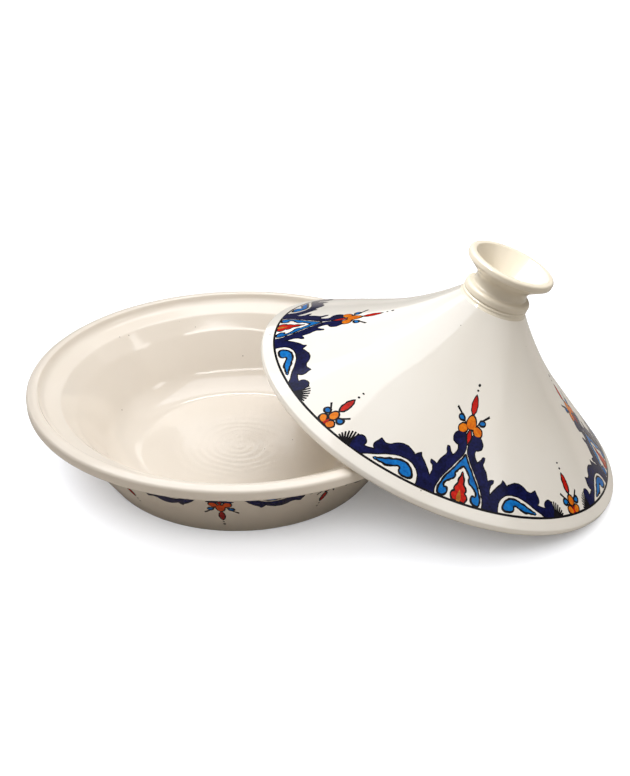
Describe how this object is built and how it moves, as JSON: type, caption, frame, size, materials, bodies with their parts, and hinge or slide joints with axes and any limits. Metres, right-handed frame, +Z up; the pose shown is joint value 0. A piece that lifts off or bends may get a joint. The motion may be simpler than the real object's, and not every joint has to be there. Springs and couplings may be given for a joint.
{
  "type": "tagine pot",
  "caption": "Glazed earthenware tagine: a shallow round dish with a rolled rim, and its conical lid with a cup-shaped knob, taken off and leaning on the rim.",
  "frame": {"origin": "centre of the dish's flat underside, on the table", "axes": "+Z up along the dish's axis, +X from the dish's axis towards the foot of the leaning lid"},
  "size_m": [0.4206, 0.3, 0.1716],
  "materials": {
    "ivory_glaze": "glossy ivory glaze over earthenware",
    "cobalt_paint": "dark cobalt brushwork under clear glaze",
    "black_paint": "black outline under clear glaze",
    "sky_paint": "bright blue brushwork under clear glaze",
    "red_paint": "red slip brushwork under clear glaze",
    "orange_paint": "orange brushwork under clear glaze"
  },
  "bodies": {
    "dish": {"base_dish": "ivory_glaze"},
    "lid": {"lid_cone": "ivory_glaze", "lid_knob": "ivory_glaze"}
  },
  "joints": [
    {"name": "lid_lift", "type": "slide", "parent": "dish", "child": "lid", "axis": [0, 0, 1], "range_m": [0, 0.15]}
  ]
}
